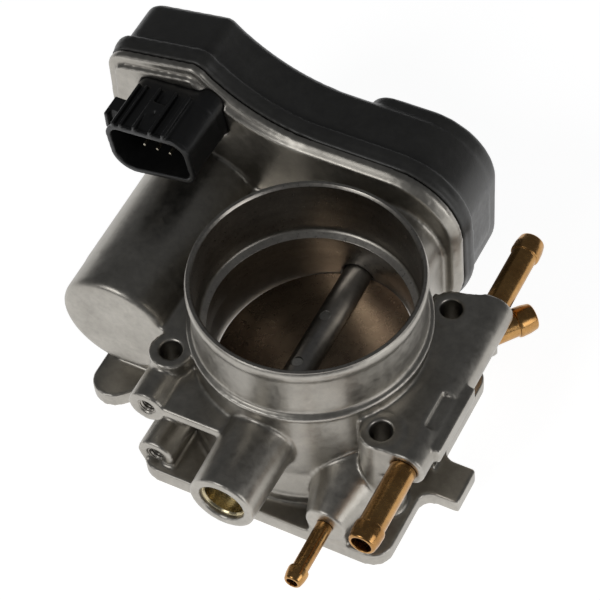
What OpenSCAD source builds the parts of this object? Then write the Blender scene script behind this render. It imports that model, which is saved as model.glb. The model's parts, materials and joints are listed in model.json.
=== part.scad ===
// Electronic throttle body: die-cast housing with motor, two-stage gear train, plate, coolant rail.
// Frame, in millimetres: origin where the bore axis meets the manifold face.
// +Z runs up the bore to the air intake, +Y along the shaft to the gear cover, +X to the coolant rail.

/* [Bore and spigot] */
// diameter of the air bore where the plate sits
bore_d = 60; // [50:0.5:70]
// inside diameter of the intake spigot
spigot_id = 65; // [55:0.5:74]
// outside diameter of the intake spigot
spigot_od = 68; // [58:0.5:78]
// extra radius of the hose bead round the rim
bead_h = 0.6; // [0.2:0.1:1.5]
// full height, manifold face to spigot rim
body_h = 66.5; // [60:0.5:80]
// height of the shoulder at the foot of the spigot
shoulder_z = 46.6; // [42:0.2:52]
// outside diameter of the barrel under the shoulder
barrel_od = 69.6; // [66:0.2:76]
// outside diameter of the shoulder ring
shoulder_od = 71.6; // [68:0.2:78]

/* [Mounting flange] */
// hole spacing across the body, along X
bolt_x = 67.2; // [60:0.2:76]
// hole spacing along the shaft, along Y
bolt_y = 46.6; // [40:0.2:52]
// diameter of the four through holes, for M6 screws
bolt_hole_d = 6.6; // [6:0.1:7.5]
// radius of the four ears and pillars round the holes
ear_r = 6.5; // [6:0.1:8]
// height of the machined ear tops
ear_top = 40.8; // [38:0.2:43]
// thickness of the base flange
flange_t = 5.5; // [4:0.1:8]
// width of the tab beside the flange
tab_w = 12.8; // [8:0.2:16]
// distance of the tab's end from the bore axis
tab_x = 53.5; // [48:0.5:58]
// Y of the tab's near side
tab_y = -16.2; // [-19:0.1:-14]

/* [Throttle shaft and plate] */
// height of the shaft axis over the manifold face
shaft_z = 29.5; // [27:0.5:32]
// diameter of the throttle shaft
shaft_d = 10; // [8:0.5:11]
// distance of the front boss face from the bore axis
boss_y = 57.9; // [52:0.5:62]
// radius of the front bearing boss
boss_r = 10.1; // [9.6:0.1:11]
// radius of the front bearing and of the plug over it
needle_r = 7; // [6.6:0.1:7.4]
// thickness of the throttle plate
plate_t = 2; // [1.5:0.1:2.5]
// radial gap between the closed plate and the bore
plate_gap = 0.25; // [0.15:0.05:0.4]
// tilt of the plate when fully closed, in degrees
closed_tilt = 6; // [4:0.5:8]
// tilt of the plate at rest, in degrees
rest_tilt = 12; // [9:0.5:15]
// running clearance on radius at bearings
run_gap = 0.03; // [0.02:0.01:0.08]

/* [Motor] */
// X position of the motor axis
motor_x = -56; // [-58:0.5:-55]
// height of the motor axis
motor_z = 32.5; // [30:0.5:35]
// outside radius of the motor casing
casing_r = 18.5; // [18:0.1:20]
// Y position of the casing's closed front face
casing_y = -18.3; // [-22:0.1:-16]
// radius of the motor can
can_r = 15.8; // [15:0.1:16]

/* [Gear train] */
// tooth size of the sector stage
mod_a = 1; // [0.9:0.05:1]
// teeth on a full turn of the sector
sector_n = 49; // [47:1:49]
// teeth on the small intermediate gear
small_n = 12; // [12:1:13]
// tooth size of the motor stage
mod_b = 0.7; // [0.65:0.05:0.7]
// teeth on the large intermediate gear
large_n = 62; // [60:1:62]
// teeth on the motor pinion
pinion_n = 12; // [12:1:13]
// gap between meshing flanks at the pitch circle
backlash = 0.2; // [0.1:0.02:0.3]

/* [Gear case and cover] */
// Y of the gear case's front wall
case_y = 39.8; // [38:0.2:41]
// depth of the case from its front wall to the cover joint
case_d = 4.4; // [4.2:0.1:7]
// wall thickness of the case
case_wall = 2.4; // [2:0.1:3]
// thickness of the cover's flange
cover_flange = 5.8; // [4.6:0.1:7]
// how far the cover's flange stands out past the case
cover_lip = 0.8; // [0.4:0.1:1.5]
// depth of the cover behind its flange
cover_d = 17; // [15:0.1:19]
// extra depth of the sensor dome
dome_d = 4.5; // [3:0.1:6]
// wall thickness of the cover
cover_wall = 2; // [1.8:0.1:3]

/* [Connector] */
// length of the connector shell in front of the case
conn_len = 20.5; // [16:0.5:24]
// wall thickness of the connector shell
conn_wall = 1.4; // [1:0.1:2]
// spacing of the terminals
pin_pitch = 4.3; // [3.6:0.1:4.6]
// width of a terminal
pin_w = 0.8; // [0.6:0.1:1.2]

/* [Coolant rail] */
// X position of the rail axis
rail_x = 43; // [42:0.2:45]
// radius of the rail
rail_r = 6.2; // [6:0.1:6.4]
// Y of the rail's front face
rail_front = -28.8; // [-31:0.2:-27]
// Y of the rail's rear face
rail_rear = 33; // [31:0.2:35]
// diameter of the two coolant pipes
pipe_d = 8; // [7:0.1:8.8]
// diameter of the barb at their ends
barb_d = 9.2; // [8.9:0.1:10.5]
// length of a coolant pipe outside the rail
pipe_len = 27; // [20:0.5:34]
// diameter of the small vacuum pipe
vac_d = 4.9; // [4:0.1:5.6]

/* [Side bosses] */
// diameter of the drilled and tapped holes
tap_d = 5; // [4.6:0.1:5.4]
// radius of the two tapped bosses
tap_boss_r = 5.9; // [5.4:0.1:6.6]
// Y of their front faces
tap_y = -40; // [-42:0.5:-38]
// height of the upper tapped hole
tap_z_hi = 33; // [31:0.2:34]
// height of the lower tapped hole
tap_z_lo = 8; // [7:0.2:9]

/* [Hidden] */
$fn = 72;
bore_r = bore_d / 2;
shaft_r = shaft_d / 2;
ear_x = bolt_x / 2;
ear_y = bolt_y / 2;
rail_z = ear_top - 6.5;
seam_y = case_y + case_d;
floor_y = case_y + case_wall;
cover_back = seam_y + cover_flange + cover_d;
dome_back = cover_back + dome_d;
tap_x = -ear_x;
vac_x = 24.3;
vac_z = 13;
side_z = 24.6;
side_dir = 52;
plug_y = -boss_y + 1.6;
plug_len = 6;
needle_y = -49.6;
needle_len = 11;
brg_r = 13;
brg_y = 36;
brg_w = 8;
brg_wall = 2.6;
// gear positions: the intermediate axis closes the triangle between shaft and motor
sector_r = mod_a * sector_n / 2;
small_r = mod_a * small_n / 2;
large_r = mod_b * large_n / 2;
pinion_r = mod_b * pinion_n / 2;
da = sector_r + small_r;
db = large_r + pinion_r;
dm = norm([motor_x, motor_z - shaft_z]);
dir_m = atan2(motor_z - shaft_z, motor_x);
dir_a = dir_m - acos((da * da + dm * dm - db * db) / (2 * da * dm));
mid_x = da * cos(dir_a);
mid_z = shaft_z + da * sin(dir_a);
dir_b = atan2(motor_z - mid_z, motor_x - mid_x);
sector_y = 51.6;
sector_w = 5;
small_y = 50.8;
large_y = 57.6;
large_w = 3.6;
pinion_y = 57.2;
mid_pin_r = 2.5;
// outlines of the gear case, seen along Y: [x, z, radius] of the corner circles, counter-clockwise
left_corners = [[-80, 72.2, 8], [-80.3, 54, 8], [-56, 32.5, 22.2], [-40, 40, 10], [-58.2, 78.5, 5.9]];
right_corners = [[5.6, 45, 23.1], [-24, 61, 7.1], [-30, 34, 27.2], [-3, 29.4, 29.3], [0.8, 29.5, 28.2]];
sweep_r = 52;
sweep_x = -18;
case_screws = [[-80, 72.2], [-80.4, 50], [17.4, 54], [15, 14.6], [-41.6, 62]];

function side_n(a, b) =
    let (v = [b[0] - a[0], b[1] - a[1]], d = norm(v), c = (a[2] - b[2]) / d, s = sqrt(1 - c * c))
    [(c * v[0] + s * v[1]) / d, (c * v[1] - s * v[0]) / d];

// how far the straight sides stay inside the corner circles, so that the two always cross
sink = 0.01;

// convex outline that wraps circles given counter-clockwise, with every radius smaller by d
module wrap(cs, d = 0) {
    n = len(cs);
    polygon([for (i = [0:n - 1]) let (a = cs[i], b = cs[(i + 1) % n], m = side_n(a, b))
        each [[a[0] + (a[2] - d - sink) * m[0], a[1] + (a[2] - d - sink) * m[1]],
              [b[0] + (b[2] - d - sink) * m[0], b[1] + (b[2] - d - sink) * m[1]]]]);
    for (c = cs) translate([c[0], c[1]]) circle(r = c[2] - d);
}

// stands a sketch of x and z up and gives it depth along Y
module along_y(y0, y1) {
    translate([0, y1, 0]) rotate([90, 0, 0]) linear_extrude(height = y1 - y0) children();
}

// cylinder along Y
module ycyl(x, z, r, y0, y1, r2 = undef) {
    translate([x, y0, z]) rotate([-90, 0, 0]) cylinder(r1 = r, r2 = r2 == undef ? r : r2, h = y1 - y0);
}

module case_outline(d = 0, dl = 0) {
    wrap(left_corners, d + dl);
    wrap(right_corners, d);
    difference() {
        translate([-60, 30]) square([44, 54]);
        translate([sweep_x - dl, 120]) circle(r = sweep_r + d, $fn = 160);
        translate([-90, 60]) square([35.8 - 0.7 * d - 0.4 * dl, 30]);
    }
}

function turn(p, a) = [p[0] * cos(a) - p[1] * sin(a), p[0] * sin(a) + p[1] * cos(a)];
function inv(a) = tan(a) * 180 / PI - a;
function half_tooth(r, rp, rb, n) =
    90 / n - backlash / 2 / rp * 90 / PI + inv(acos(rb / rp)) - (r > rb ? inv(acos(rb / r)) : 0);

// outline of one tooth about its own centre line, from root to tip and back
function tooth(m, n) =
    let (rp = m * n / 2, rb = rp * cos(25), ra = rp + 0.9 * m, rf = rp - 1.25 * m,
         rs = [rf, max(rf + 0.05, rb), rp, (rp + ra) / 2, ra])
    concat([for (r = rs) turn([r, 0], -half_tooth(r, rp, rb, n))],
           [for (i = [4:-1:0]) turn([rs[i], 0], half_tooth(rs[i], rp, rb, n))]);

module gear_outline(m, n, phase) {
    t = tooth(m, n);
    polygon([for (k = [0:n - 1]) for (p = t) turn(p, phase + k * 360 / n)]);
}

// hollow turned pipe along +Y from the origin, with a thinner pressed-in tail and a barb at its far end
module pipe(r, br, len, barb, tail, ir) {
    rotate([-90, 0, 0]) rotate_extrude()
        polygon([[ir, -tail], [r - 0.4, -tail], [r - 0.4, 0], [r, 0], [r, len - barb], [br - 0.15, len - barb], [br, len - barb + 0.3],
                 [br, len - barb * 0.55], [br - 0.45, len - 0.3], [br - 0.75, len], [ir, len]]);
}

module throttle_housing() {
    color([0.62, 0.61, 0.58]) difference() {
        union() {
            // base flange with its tab and the foot under the motor
            linear_extrude(height = flange_t) {
                wrap([[-ear_x + 1.6, -37, 6], [ear_x + 2.6, -36.6, 6.4], [35.6, 24.6, 7], [-ear_x, 24, 6.9]]);
                wrap([[-59.6, -18.8, 6.8], [-50, -8, 7.4], [-34, 24, 6], [-60, 12, 6.4]]);
                translate([36, tab_y]) square([tab_x - 37, tab_w]);
                translate([tab_x - 2, tab_y + 1]) square([2, tab_w - 2]);
                for (y = [tab_y + 1, tab_y + tab_w - 1]) translate([tab_x - 1, y]) circle(r = 1);
                difference() {
                    translate([40, tab_y - 4]) square([6.6, tab_w + 8]);
                    translate([46.6, tab_y - 4]) circle(r = 4);
                    translate([46.6, tab_y + tab_w + 4]) circle(r = 4);
                }
            }
            // barrel, foot ring, shoulder and spigot, turned about the bore axis
            rotate_extrude($fn = 160) polygon([
                [10, 0.5], [barrel_od / 2 + 2.8, 0.5], [barrel_od / 2 + 2.6, 9.2], [barrel_od / 2 + 1.9, 10],
                [barrel_od / 2 + 0.2, 16], [barrel_od / 2, 17], [barrel_od / 2, shoulder_z - 2.4],
                [shoulder_od / 2, shoulder_z - 1.6], [shoulder_od / 2, shoulder_z - 0.3],
                [shoulder_od / 2 - 0.3, shoulder_z], [spigot_od / 2 + 0.5, shoulder_z],
                [spigot_od / 2, shoulder_z + 0.6], [spigot_od / 2, body_h - 4.6],
                [spigot_od / 2 + bead_h, body_h - 3.4], [spigot_od / 2 + bead_h, body_h - 1.3],
                [spigot_od / 2 + bead_h - 0.9, body_h], [10, body_h]]);
            // pillars and ears
            for (x = [-ear_x, ear_x], y = [-ear_y, ear_y]) translate([x, y, 0.2])
                cylinder(r = ear_r, h = ear_top - 0.2);
            // upper block on the coolant side and the rail along it
            translate([0, 0, rail_z - rail_r + 0.3]) linear_extrude(height = 2 * rail_r - 0.35)
                wrap([[ear_x, -ear_y, ear_r - 0.1], [rail_x - 0.6, rail_front + 0.5, 0.5],
                      [rail_x - 0.6, rail_rear - 0.5, 0.5], [ear_x, ear_y, ear_r - 0.1]]);
            ycyl(rail_x, rail_z, rail_r, rail_front, rail_rear);
            translate([rail_x - 1, -21.5, rail_z - 2]) cube([rail_r + 2.6, 24, 5.6]);
            for (y = [-8.5, 16]) translate([rail_x - 5, y, 3]) cube([4, 3, 28]);
            // block on the motor side, up to the ear plane
            translate([-42, -18.2, 12]) cube([20, case_y + 18.2, ear_top - 12 - 0.05]);
            translate([-44, -16, 3]) cube([14, case_y + 16, 14]);
            translate([-62, -12, 3]) cube([24, case_y - 10, 16]);
            // motor casing
            translate([motor_x, casing_y, motor_z]) rotate([-90, 0, 0]) rotate_extrude($fn = 120)
                polygon([[0, 0], [casing_r - 2.6, 0], [casing_r - 1.3, 0.4], [casing_r - 0.5, 1.2],
                         [casing_r - 0.15, 2.4], [casing_r - 0.15, 13.2], [casing_r, 13.5],
                         [casing_r, case_y - casing_y + 1], [0, case_y - casing_y + 1]]);
            // shaft boss at the front with its draft, and the housing behind the barrel for the ball bearing
            ycyl(0, shaft_z, boss_r, -boss_y, -20, boss_r + 0.9);
            along_y(20, case_y + 0.4) wrap([[6.5, 39.8, 17], [-8, 39.8, 17], [-8, 20, 17], [6.5, 20, 17]]);
            // tapped bosses, the shelf between them and the front boss
            for (z = [tap_z_hi, tap_z_lo]) ycyl(tap_x, z, tap_boss_r, tap_y, -20);
            translate([tap_x, tap_y, 32.2]) cube([tap_x * -1 - 6, 24, 3.4]);
            // vacuum pipe boss, widening back to the barrel
            ycyl(vac_x, vac_z, 6.2, -43.2, -24, 12.8);
            translate([vac_x - 6.2, -42.6, 3]) cube([12.4, 20, 7]);
            // side pipe boss
            translate([30, 14, side_z]) rotate([0, 0, side_dir - 90]) rotate([-90, 0, 0]) cylinder(r = 6.4, h = 20);
            translate([25, 8, 6]) cube([13, 22, 30]);
            // gear case, drawn in at the front in four small steps, with a raised pad at the top left
            difference() {
                union() {
                    for (i = [0:4]) along_y(case_y + 0.6 * i, seam_y)
                        case_outline(cover_lip + 1.8 - 0.45 * i, i < 3 ? 1.4 + 0.45 * i : 0);
                }
                along_y(floor_y, seam_y + 1) case_outline(cover_lip + case_wall, 1.6);
            }
            // collar round the motor, posts for the cover screws, seats on the floor
            for (p = case_screws) ycyl(p[0], p[1], 3.4, case_y + 1, seam_y);
            ycyl(0, shaft_z, brg_r + brg_wall, case_y, brg_y + brg_w + 0.6);
            ycyl(mid_x, mid_z, 5.2, case_y, floor_y + 3);
            for (a = motor_screw_dirs) ycyl(motor_x + 20.4 * cos(a), motor_z + 20.4 * sin(a), 3.3, case_y - 6, case_y + 1);
        }
        // bore, step and spigot inside
        rotate_extrude($fn = 160) polygon([[0, -1], [bore_r, -1], [bore_r, shoulder_z - 1.5],
            [spigot_id / 2, shoulder_z - 0.4], [spigot_id / 2, body_h - 0.7], [spigot_id / 2 + 0.7, body_h],
            [spigot_id / 2 + 0.7, body_h + 1], [0, body_h + 1]]);
        // mounting holes
        for (x = [-ear_x, ear_x], y = [-ear_y, ear_y]) translate([x, y, -1]) cylinder(d = bolt_hole_d, h = ear_top + 2);
        for (x = [-ear_x, ear_x], y = [-ear_y, ear_y]) translate([x, y, ear_top - 0.4])
            cylinder(d1 = bolt_hole_d, d2 = bolt_hole_d + 1, h = 0.5);
        // shaft line: plug and front bearing, front seal, clear hole, rear seal, ball bearing
        ycyl(0, shaft_z, needle_r, -boss_y - 1, needle_y + needle_len + 0.1);
        ycyl(0, shaft_z, needle_r + 0.5, -boss_y - 1, -boss_y + 0.5, needle_r);
        ycyl(0, shaft_z, needle_r, needle_y + needle_len, needle_y + needle_len + 3.6);
        ycyl(0, shaft_z, shaft_r + 0.3, -40, 40);
        ycyl(0, shaft_z, needle_r, brg_y - 3.6, brg_y + 1);
        ycyl(0, shaft_z, brg_r, brg_y, brg_y + brg_w + 3);
        // motor bore and the opening to the gear case
        ycyl(motor_x, motor_z, can_r + 0.2, casing_y + 2.6, seam_y);
        // intermediate pin socket
        ycyl(mid_x, mid_z, mid_pin_r, case_y + 0.8, seam_y + 8);
        // connector window
        along_y(case_y - 1, seam_y) wrap(conn_corners(), -0.26);
        // screw holes
        for (p = case_screws) ycyl(p[0], p[1], 1.6, case_y + 1.6, seam_y + 1);
        for (a = motor_screw_dirs) ycyl(motor_x + 20.4 * cos(a), motor_z + 20.4 * sin(a), 1.5, case_y - 4.4, seam_y);
        // coolant passage and the sockets for the pipes
        ycyl(rail_x, rail_z, 3.1, rail_front - 1, rail_rear + 1);
        ycyl(rail_x, rail_z, pipe_d / 2 - 0.4, rail_front - 1, rail_front + 8);
        ycyl(rail_x, rail_z, pipe_d / 2 + 0.35, rail_front - 2, rail_front);
        ycyl(rail_x, rail_z, pipe_d / 2 + 0.35, rail_rear, rail_rear + 2);
        ycyl(rail_x, rail_z, pipe_d / 2 - 0.5, rail_rear - 8, rail_rear + 1);
        translate([rail_x - 1, -14, rail_z - rail_r - 1]) cylinder(r = 2.6, h = rail_r);
        // tapped holes
        for (z = [tap_z_hi, tap_z_lo]) {
            ycyl(tap_x, z, tap_d / 2, tap_y - 1, tap_y + 12);
            ycyl(tap_x, z, tap_d / 2 + 0.9, tap_y - 0.01, tap_y + 0.9, tap_d / 2);
        }
        // vacuum and side pipe sockets, each with a drilling into the bore
        ycyl(vac_x, vac_z, vac_d / 2 - 0.4, -44, -34);
        translate([vac_x, -34.5, vac_z]) rotate([-90, 0, -20]) cylinder(r = 1.5, h = 20);
        translate([side_x, side_y, side_z]) rotate([0, 0, side_dir - 90]) rotate([-90, 0, 0]) {
            translate([0, 0, -4.9]) cylinder(r = pipe_d / 2 - 0.4, h = 20);
            cylinder(r = pipe_d / 2 + 0.35, h = 20);
        }
        translate([side_x - 0.8, side_y - 3.3, side_z]) rotate([0, 90, -115.2]) cylinder(r = 1.5, h = 30);
        // pocket in the shoulder of the rail
        translate([rail_x + 0.6, -16.5, rail_z + 4.4]) cube([12, 13, 8]);
    }
}

side_x = 30 + 20 * cos(side_dir);
side_y = 14 + 20 * sin(side_dir);
motor_screw_dirs = [-32, 112];

function conn_corners() = [[-70.4, 71, 4.6], [-67.3, 64.6, 6.9], [-50.4, 64.8, 3.8], [-53.3, 71.4, 5.8]];
function lay(p, d) = [for (c = p) [c[0], c[1], c[2] + d]];

module gear_cover() {
    y1 = seam_y + cover_flange;
    inner = cover_lip + cover_wall;
    color([0.17, 0.17, 0.16]) difference() {
        union() {
            along_y(seam_y, seam_y + 2.8) case_outline(0.5);
            along_y(seam_y + 2.8, y1) case_outline(0);
            along_y(y1, cover_back - 2) case_outline(2);
            along_y(cover_back - 2, cover_back - 0.8) case_outline(2.7);
            along_y(cover_back - 0.8, cover_back) case_outline(3.7);
            // sensor dome over the shaft end
            along_y(y1, dome_back - 1.6) wrap(right_dome, 0);
            along_y(dome_back - 1.6, dome_back - 0.6) wrap(right_dome, 0.6);
            along_y(dome_back - 0.6, dome_back) wrap(right_dome, 1.4);
        }
        difference() {
            union() {
                along_y(seam_y - 1, cover_back - cover_wall) case_outline(2 + cover_wall);
                along_y(seam_y - 1, dome_back - cover_wall) wrap(right_dome, cover_wall);
            }
            for (p = case_screws) ycyl(p[0], p[1], 5.4, seam_y - 1, cover_back);
            ycyl(mid_x, mid_z, 5, large_y + large_w + 1, cover_back);
        }
        // groove for the seal
        along_y(seam_y - 0.01, seam_y + 1.6) difference() {
            case_outline(1.7);
            case_outline(3.3);
        }
        // screw wells from behind
        for (p = case_screws) {
            ycyl(p[0], p[1], 3.9, seam_y + 4, dome_back + 1);
            ycyl(p[0], p[1], 1.9, seam_y - 1, dome_back);
        }
        ycyl(mid_x, mid_z, mid_pin_r, large_y, large_y + large_w + 5);
    }
}
right_dome = [[6.4, 45, 20.2], [-6.6, 57.4, 7.6], [-6.6, 21, 9], [7.6, 23.4, 18.8]];

module cover_seal() {
    color([0.08, 0.08, 0.08]) along_y(seam_y, seam_y + 1.5) difference() {
        case_outline(1.8);
        case_outline(3.2);
    }
}

module screw(x, z, y, head_r, head_h, r, len) {
    difference() {
        union() {
            ycyl(x, z, head_r, y, y + head_h);
            ycyl(x, z, r, y - len, y + 0.1);
        }
        translate([x, y + head_h - 1.2, z]) rotate([-90, 0, 0]) cylinder(r = head_r * 0.5, h = 2, $fn = 6);
    }
}

module cover_screws() {
    color([0.55, 0.55, 0.53]) for (p = case_screws) screw(p[0], p[1], seam_y + 4, 3.4, 2.6, 1.55, 6.4);
}

module connector_shell() {
    cs = conn_corners();
    y0 = case_y - conn_len;
    color([0.03, 0.03, 0.03]) difference() {
        union() {
            along_y(y0, floor_y) wrap(cs);
            along_y(y0, y0 + 1.2) wrap(lay(cs, 0.35));
            along_y(case_y - 4, floor_y + 2) wrap(lay(cs, 0.2));
            // latch ramp, guide ribs and the side hook
            for (r = [[-73, 0.9, 76.8], [-70.4, 0.9, 77.2], [-65.9, 1.1, 78.1], [-60.5, 1.1, 78.5], [-56.2, 1.3, 78.9]])
                translate([r[0], y0, 73.2]) cube([r[1], 17, r[2] - 73.2]);
            translate([-65, 0, 0]) rotate([90, 0, 90]) linear_extrude(height = 4.7)
                polygon([[y0 + 2.5, 74.6], [y0 + 2.5, 76.4], [y0 + 9, 77.9], [y0 + 11.5, 77.9], [y0 + 11.5, 74.6]]);
            translate([-79, case_y - 13, 66.2]) cube([6, 5.4, 6.2]);
            translate([-79, case_y - 15, 66.2]) cube([1.4, 4, 6.2]);
        }
        along_y(y0 - 1, case_y - 5) wrap(lay(cs, -conn_wall));
        for (i = [-1:1], k = [0, 1]) translate([pin_x(i) - pin_w / 2, y0, pin_z(k) - pin_w / 2])
            cube([pin_w, 40, pin_w]);
        along_y(y0 + 3, y0 + 8.5) polygon([[-64.3, 79.5], [-60.9, 79.5], [-62.6, 76.5]]);
    }
}
function pin_x(i) = -61.4 + i * pin_pitch;
function pin_z(k) = 65 + k * 4.6;

module connector_terminals() {
    color([0.75, 0.66, 0.42]) for (i = [-1:1], k = [0, 1]) {
        translate([pin_x(i) - pin_w / 2, case_y - 15.6, pin_z(k) - pin_w / 2]) cube([pin_w, 21.6, pin_w]);
    }
}

module lead_frame() {
    // moulded carrier that takes the terminals on to the motor and the sensor
    y0 = floor_y + 2;
    color([0.1, 0.1, 0.1]) difference() {
        along_y(y0, y0 + 2.4) wrap([[-55, 70, 2.4], [-70, 71, 2.4], [-70, 62, 2.4], [-55, 62, 2.4]]);
        for (i = [-1:1], k = [0, 1]) translate([pin_x(i) - 0.5, y0, pin_z(k) - 0.5]) cube([1, 20, 1]);
    }
}

module motor_can() {
    color([0.55, 0.56, 0.57]) difference() {
        union() {
            ycyl(motor_x, motor_z, can_r, casing_y + 4.4, floor_y - 1);
            ycyl(motor_x, motor_z, 4, casing_y + 3.2, casing_y + 5);
        }
        ycyl(motor_x, motor_z, can_r - 1.2, casing_y + 5.8, floor_y);
        ycyl(motor_x, motor_z, 1.5 + run_gap, casing_y + 3.9, casing_y + 8);
    }
}

module motor_magnets() {
    color([0.2, 0.2, 0.21]) difference() {
        ycyl(motor_x, motor_z, can_r - 1.2, casing_y + 10, floor_y - 8);
        ycyl(motor_x, motor_z, can_r - 3.4, casing_y + 9, floor_y - 7);
        for (a = [0, 180]) translate([motor_x, casing_y + 8, motor_z]) rotate([0, a, 0])
            translate([-3, 0, -20]) cube([6, 60, 40]);
    }
}

module motor_end_plate() {
    color([0.6, 0.6, 0.58]) difference() {
        union() {
            ycyl(motor_x, motor_z, can_r - 1.3, floor_y - 3, floor_y + 0.5);
            along_y(floor_y + 0.02, floor_y + 1.6) {
                translate([motor_x, motor_z]) circle(r = can_r + 1.2);
                for (a = motor_screw_dirs) {
                    translate([motor_x + 20.4 * cos(a), motor_z + 20.4 * sin(a)]) circle(r = 3.2);
                    translate([motor_x, motor_z]) rotate(a) translate([0, -3]) square([20.4, 6]);
                }
            }
        }
        ycyl(motor_x, motor_z, 1.5 + run_gap, floor_y - 4, floor_y + 3);
        for (a = motor_screw_dirs) ycyl(motor_x + 20.4 * cos(a), motor_z + 20.4 * sin(a), 1.6, floor_y - 1, floor_y + 3);
        for (x = [-4, 4]) translate([motor_x + x - 0.5, floor_y - 4, motor_z + 8.5]) cube([1, 8, 3]);
    }
}

module motor_screws() {
    color([0.55, 0.55, 0.53]) for (a = motor_screw_dirs)
        screw(motor_x + 20.4 * cos(a), motor_z + 20.4 * sin(a), floor_y + 1.6, 2.8, 2, 1.45, 7);
}

module motor_wave_spring() {
    color([0.5, 0.5, 0.5]) difference() {
        ycyl(motor_x, motor_z, can_r - 2, casing_y + 2.7, casing_y + 4.3);
        ycyl(motor_x, motor_z, can_r - 5, casing_y + 2, casing_y + 5);
    }
}

module motor_rotor() {
    color([0.5, 0.4, 0.3]) {
        ycyl(motor_x, motor_z, 1.5, casing_y + 4.2, pinion_y + 4.6);
        ycyl(motor_x, motor_z, can_r - 4, casing_y + 12, floor_y - 9);
        ycyl(motor_x, motor_z, 4.6, floor_y - 9, floor_y - 4);
    }
}

module motor_pinion() {
    color([0.72, 0.6, 0.35]) difference() {
        along_y(pinion_y, pinion_y + 4.4) translate([motor_x, motor_z])
            gear_outline(mod_b, pinion_n, dir_b + 180 + 180 / pinion_n);
        ycyl(motor_x, motor_z, 1.5, pinion_y - 1, pinion_y + 6);
    }
}

module intermediate_pin() {
    color([0.6, 0.6, 0.62]) ycyl(mid_x, mid_z, mid_pin_r, case_y + 0.9, large_y + large_w + 4.8);
}

module intermediate_gear() {
    color([0.85, 0.83, 0.76]) difference() {
        union() {
            along_y(small_y, large_y + 0.1) translate([mid_x, mid_z])
                gear_outline(mod_a, small_n, dir_a + 180 + 180 / small_n);
            difference() {
                along_y(large_y, large_y + large_w) translate([mid_x, mid_z])
                    gear_outline(mod_b, large_n, dir_b);
                for (s = [0, 1]) difference() {
                    ycyl(mid_x, mid_z, large_r - 3, large_y + (s == 1 ? large_w - 1 : -1), large_y + (s == 1 ? large_w + 1 : 1));
                    ycyl(mid_x, mid_z, 7.4, large_y - 2, large_y + large_w + 2);
                }
            }
            ycyl(mid_x, mid_z, 4, floor_y + 3.3, small_y + 0.5);
        }
        ycyl(mid_x, mid_z, mid_pin_r + run_gap, floor_y, large_y + large_w + 2);
    }
}

// the toothed sector hangs over the part of the turn that the travel needs
module sector_gear() {
    color([0.12, 0.12, 0.12]) difference() {
        union() {
            along_y(sector_y, sector_y + sector_w) translate([0, shaft_z]) {
                intersection() {
                    gear_outline(mod_a, sector_n, dir_a);
                    rotate(dir_a) polygon([[0, 0], turn([40, 0], -88.2), turn([46, 0], -60), turn([46, 0], -30),
                                           turn([46, 0], 0), turn([40, 0], 14)]);
                }
                circle(r = 10.5);
            }
            ycyl(0, shaft_z, 9, brg_y + brg_w + 1, sector_y + 0.1);
            ycyl(0, shaft_z, 7, sector_y + sector_w - 0.1, 62);
        }
        ycyl(0, shaft_z, shaft_r, 40, 58);
        ycyl(0, shaft_z, 5.6, 57.99, 63);
        for (a = [-68, -34, 0]) rotate([0, 0, 0]) ycyl(17 * cos(dir_a + a), shaft_z + 17 * sin(dir_a + a), 3.4, sector_y - 1, sector_y + sector_w + 1);
    }
}

module sensor_magnet() {
    color([0.25, 0.25, 0.26]) ycyl(0, shaft_z, 5.6, 58, 61.8);
}

module sensor_board() {
    yb = dome_back - cover_wall - 1.65;
    color([0.08, 0.25, 0.14]) {
        along_y(yb, yb + 1.65) wrap([[9, 42, 4], [-7.4, 42, 4], [-7.4, 20, 4], [9, 20, 4]]);
        translate([-3, yb - 1.2, shaft_z - 3]) cube([6, 1.3, 6]);
    }
}

module throttle_shaft() {
    color([0.45, 0.44, 0.42]) difference() {
        ycyl(0, shaft_z, shaft_r, needle_y + 0.4, 57.9);
        translate([0, 0, shaft_z]) rotate([0, -rest_tilt, 0]) {
            translate([-10, -bore_r + 0.1, -plate_t / 2 - 0.02]) cube([20, 2 * bore_r - 0.2, plate_t + 0.04]);
            for (y = plate_screw_y) translate([0, y, -12]) cylinder(r = 1.7, h = 24);
            for (y = plate_screw_y) translate([0, y, -shaft_r - 2.6]) cylinder(r = 3.3, h = 4);
        }
    }
}
plate_screw_y = [-8, 10];

module throttle_plate() {
    color([0.55, 0.47, 0.36]) translate([0, 0, shaft_z]) rotate([0, -(rest_tilt - closed_tilt), 0]) difference() {
        intersection() {
            cylinder(r = bore_r - plate_gap, h = 30, center = true, $fn = 160);
            rotate([0, -closed_tilt, 0]) translate([-50, -50, -plate_t / 2]) cube([100, 100, plate_t]);
        }
        rotate([0, -closed_tilt, 0]) for (y = plate_screw_y) translate([0, y, -12]) cylinder(r = 1.7, h = 24);
    }
}

module plate_screws() {
    color([0.5, 0.49, 0.46]) translate([0, 0, shaft_z]) rotate([0, -rest_tilt, 0]) for (y = plate_screw_y)
        translate([0, y, 0]) mirror([0, 0, 1]) difference() {
            union() {
                translate([0, 0, shaft_r - 1.38]) rotate_extrude() polygon([[0, 0], [3, 0], [3, 0.8], [2.2, 1.5], [0, 1.7]]);
                translate([0, 0, -shaft_r + 0.3]) cylinder(r = 1.65, h = 2 * shaft_r - 1.5);
            }
            translate([0, 0, shaft_r - 0.6]) cylinder(r = 1.1, h = 3, $fn = 6);
        }
}

module needle_bearing() {
    color([0.6, 0.6, 0.62]) difference() {
        ycyl(0, shaft_z, needle_r, needle_y, needle_y + needle_len);
        ycyl(0, shaft_z, shaft_r + run_gap, needle_y - 1, needle_y + needle_len + 1);
    }
}

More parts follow.
